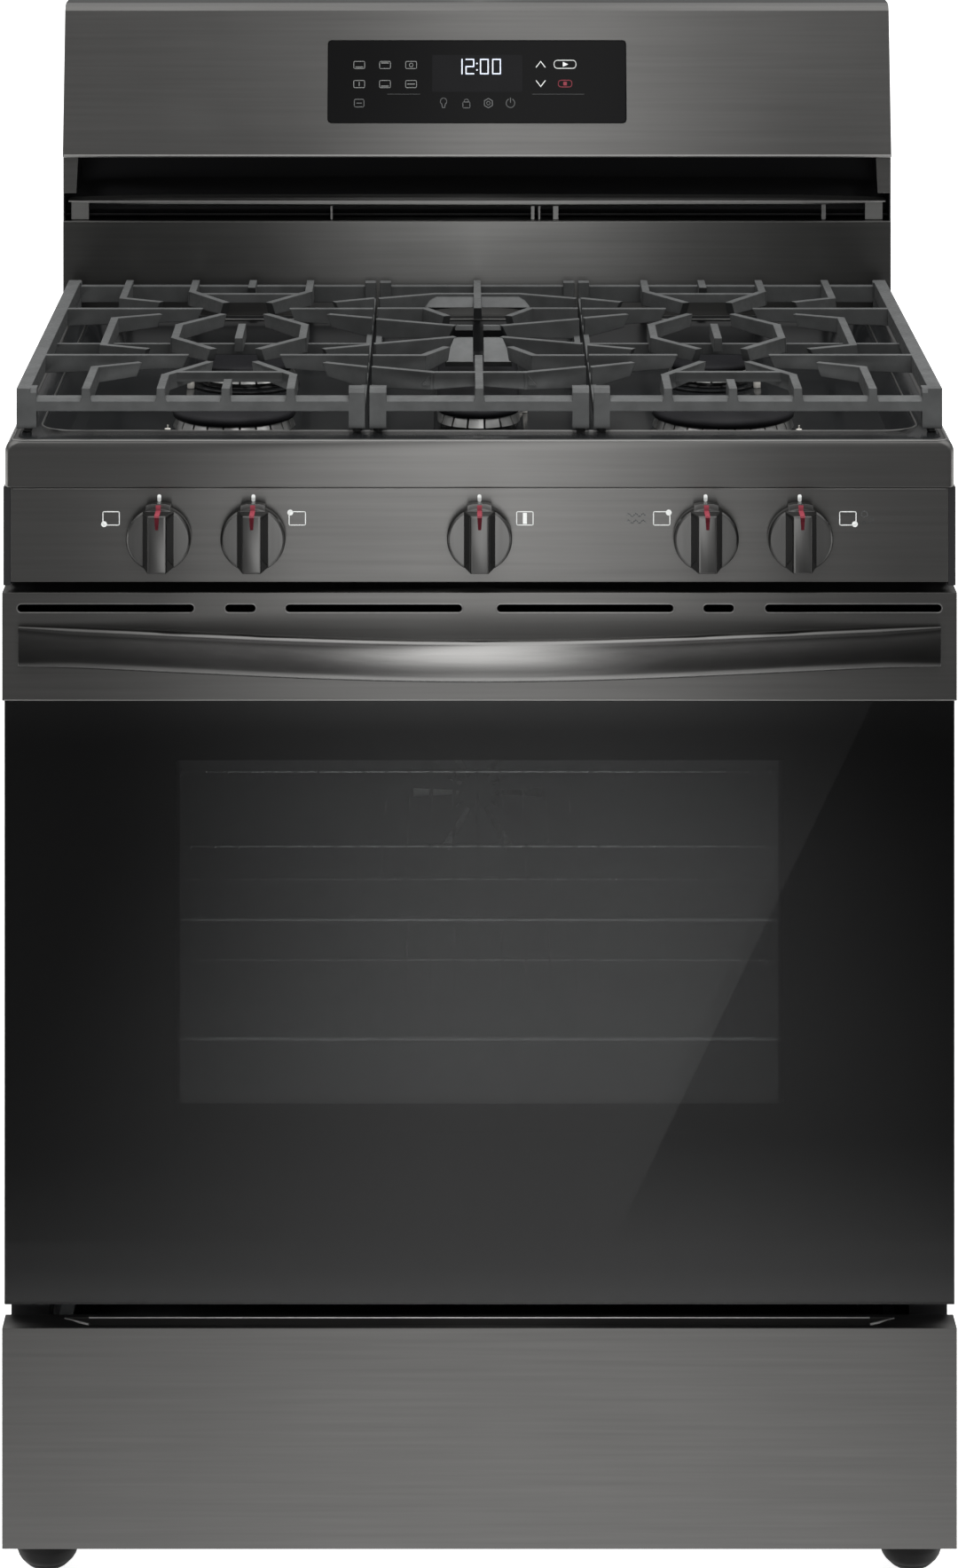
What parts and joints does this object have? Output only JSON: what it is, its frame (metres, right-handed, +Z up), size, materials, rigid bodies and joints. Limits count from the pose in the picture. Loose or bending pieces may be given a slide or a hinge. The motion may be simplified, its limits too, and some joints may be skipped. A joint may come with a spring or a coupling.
{
  "type": "freestanding gas range",
  "caption": "Freestanding gas range with cast grates, sealed burners, turn knobs, a drop-down oven door with a window, a storage drawer and a backguard with a touch panel.",
  "frame": {"origin": "on the floor, in the middle of the overall box in plan", "axes": "+Z up, the front with the door and knobs faces -Y, +X is to the right as seen from the front"},
  "size_m": [0.7586, 0.708, 1.2055],
  "materials": {
    "black_stainless": "brushed dark steel, clear coated",
    "black_paint": "satin black",
    "porcelain": "gloss porcelain enamel",
    "cast_iron": "matte enamelled casting",
    "aluminium": "cast, matte",
    "galvanized": "galvanized sheet",
    "chrome_wire": "bright plated wire",
    "dark_glass": "dark tempered glass, gloss",
    "knob_metal": "dark anodised",
    "brass": "turned",
    "rubber": "matte",
    "gasket_braid": "woven fibreglass rope"
  },
  "bodies": {
    "body": {"side_panel_left": "black_paint", "side_panel_right": "black_paint", "front_frame": "black_paint", "backguard_housing": "black_paint", "base_frame": "galvanized", "back_panel": "galvanized", "hinge_bracket_left": "galvanized", "hinge_bracket_right": "galvanized", "foot_front_left": "rubber", "foot_front_right": "rubber", "foot_rear_left": "rubber", "foot_rear_right": "rubber", "oven_liner": "porcelain", "oven_floor": "porcelain", "fan_cover": "porcelain", "cooktop": "porcelain", "bake_burner": "aluminium", "broil_burner": "aluminium", "gas_manifold": "aluminium", "door_gasket": "gasket_braid", "knob_panel": "black_stainless", "backguard_riser": "black_stainless", "vent_trim": "black_stainless", "backguard_console": "black_stainless", "control_glass": "dark_glass", "burner_base_front_left": "aluminium", "burner_base_rear_left": "aluminium", "burner_base_center": "aluminium", "burner_base_rear_right": "aluminium", "burner_base_front_right": "aluminium"},
    "door": {"door_top_panel": "black_stainless", "door_glass": "dark_glass", "door_liner": "porcelain", "door_window_glass": "dark_glass", "door_handle": "black_stainless", "hinge_leaf_left": "galvanized", "hinge_leaf_right": "galvanized"},
    "drawer": {"drawer_front": "black_stainless", "drawer_box": "galvanized"},
    "upper_rack": {"rack_upper": "chrome_wire"},
    "lower_rack": {"rack_lower": "chrome_wire"},
    "fan": {"convection_fan": "aluminium"},
    "left_grate": {"grate_left": "cast_iron"},
    "center_grate": {"grate_center": "cast_iron"},
    "right_grate": {"grate_right": "cast_iron"},
    "stem_front_left": {"valve_stem_front_left": "brass"},
    "dial_front_left": {"knob_front_left": "knob_metal"},
    "cap_front_left": {"burner_cap_front_left": "porcelain"},
    "stem_rear_left": {"valve_stem_rear_left": "brass"},
    "dial_rear_left": {"knob_rear_left": "knob_metal"},
    "cap_rear_left": {"burner_cap_rear_left": "porcelain"},
    "stem_center": {"valve_stem_center": "brass"},
    "dial_center": {"knob_center": "knob_metal"},
    "cap_center": {"burner_cap_center": "porcelain"},
    "stem_rear_right": {"valve_stem_rear_right": "brass"},
    "dial_rear_right": {"knob_rear_right": "knob_metal"},
    "cap_rear_right": {"burner_cap_rear_right": "porcelain"},
    "stem_front_right": {"valve_stem_front_right": "brass"},
    "dial_front_right": {"knob_front_right": "knob_metal"},
    "cap_front_right": {"burner_cap_front_right": "porcelain"}
  },
  "joints": [
    {"name": "convection_fan_spin", "type": "hinge", "parent": "body", "child": "fan", "pos_m": [0, 0.226, 0.5], "axis": [0, -1, 0], "continuous": true},
    {"name": "door_hinge", "type": "hinge", "parent": "body", "child": "door", "pos_m": [0, -0.266, 0.256], "axis": [1, 0, 0], "range_deg": [0, 90], "stiffness_Nm_per_rad": 10, "springref_deg": -20.05},
    {"name": "drawer_slide", "type": "slide", "parent": "body", "child": "drawer", "axis": [0, -1, 0], "range_m": [0, 0.38]},
    {"name": "grate_left_lift", "type": "slide", "parent": "body", "child": "left_grate", "axis": [0, 0, 1], "range_m": [0, 0.15]},
    {"name": "grate_center_lift", "type": "slide", "parent": "body", "child": "center_grate", "axis": [0, 0, 1], "range_m": [0, 0.15]},
    {"name": "grate_right_lift", "type": "slide", "parent": "body", "child": "right_grate", "axis": [0, 0, 1], "range_m": [0, 0.15]},
    {"name": "knob_front_left_push", "type": "slide", "parent": "body", "child": "stem_front_left", "axis": [0, 1, 0], "range_m": [0, 0.0035], "stiffness_N_per_m": 600},
    {"name": "knob_front_left_turn", "type": "hinge", "parent": "stem_front_left", "child": "dial_front_left", "pos_m": [-0.2545, -0.306, 0.848], "axis": [0, -1, 0], "range_deg": [0, 270]},
    {"name": "knob_rear_left_push", "type": "slide", "parent": "body", "child": "stem_rear_left", "axis": [0, 1, 0], "range_m": [0, 0.0035], "stiffness_N_per_m": 600},
    {"name": "knob_rear_left_turn", "type": "hinge", "parent": "stem_rear_left", "child": "dial_rear_left", "pos_m": [-0.1797, -0.306, 0.848], "axis": [0, -1, 0], "range_deg": [0, 270]},
    {"name": "knob_center_push", "type": "slide", "parent": "body", "child": "stem_center", "axis": [0, 1, 0], "range_m": [0, 0.0035], "stiffness_N_per_m": 600},
    {"name": "knob_center_turn", "type": "hinge", "parent": "stem_center", "child": "dial_center", "pos_m": [0, -0.306, 0.848], "axis": [0, -1, 0], "range_deg": [0, 270]},
    {"name": "knob_rear_right_push", "type": "slide", "parent": "body", "child": "stem_rear_right", "axis": [0, 1, 0], "range_m": [0, 0.0035], "stiffness_N_per_m": 600},
    {"name": "knob_rear_right_turn", "type": "hinge", "parent": "stem_rear_right", "child": "dial_rear_right", "pos_m": [0.1797, -0.306, 0.848], "axis": [0, -1, 0], "range_deg": [0, 270]},
    {"name": "knob_front_right_push", "type": "slide", "parent": "body", "child": "stem_front_right", "axis": [0, 1, 0], "range_m": [0, 0.0035], "stiffness_N_per_m": 600},
    {"name": "knob_front_right_turn", "type": "hinge", "parent": "stem_front_right", "child": "dial_front_right", "pos_m": [0.2545, -0.306, 0.848], "axis": [0, -1, 0], "range_deg": [0, 270]},
    {"name": "lift_cap_front_left", "type": "slide", "parent": "body", "child": "cap_front_left", "axis": [0, 0, 1], "range_m": [0, 0.012]},
    {"name": "lift_cap_rear_left", "type": "slide", "parent": "body", "child": "cap_rear_left", "axis": [0, 0, 1], "range_m": [0, 0.012]},
    {"name": "lift_cap_center", "type": "slide", "parent": "body", "child": "cap_center", "axis": [0, 0, 1], "range_m": [0, 0.012]},
    {"name": "lift_cap_rear_right", "type": "slide", "parent": "body", "child": "cap_rear_right", "axis": [0, 0, 1], "range_m": [0, 0.012]},
    {"name": "lift_cap_front_right", "type": "slide", "parent": "body", "child": "cap_front_right", "axis": [0, 0, 1], "range_m": [0, 0.012]},
    {"name": "rack_lower_slide", "type": "slide", "parent": "body", "child": "lower_rack", "axis": [0, -1, 0], "range_m": [0, 0.028]},
    {"name": "rack_upper_slide", "type": "slide", "parent": "body", "child": "upper_rack", "axis": [0, -1, 0], "range_m": [0, 0.028]}
  ]
}
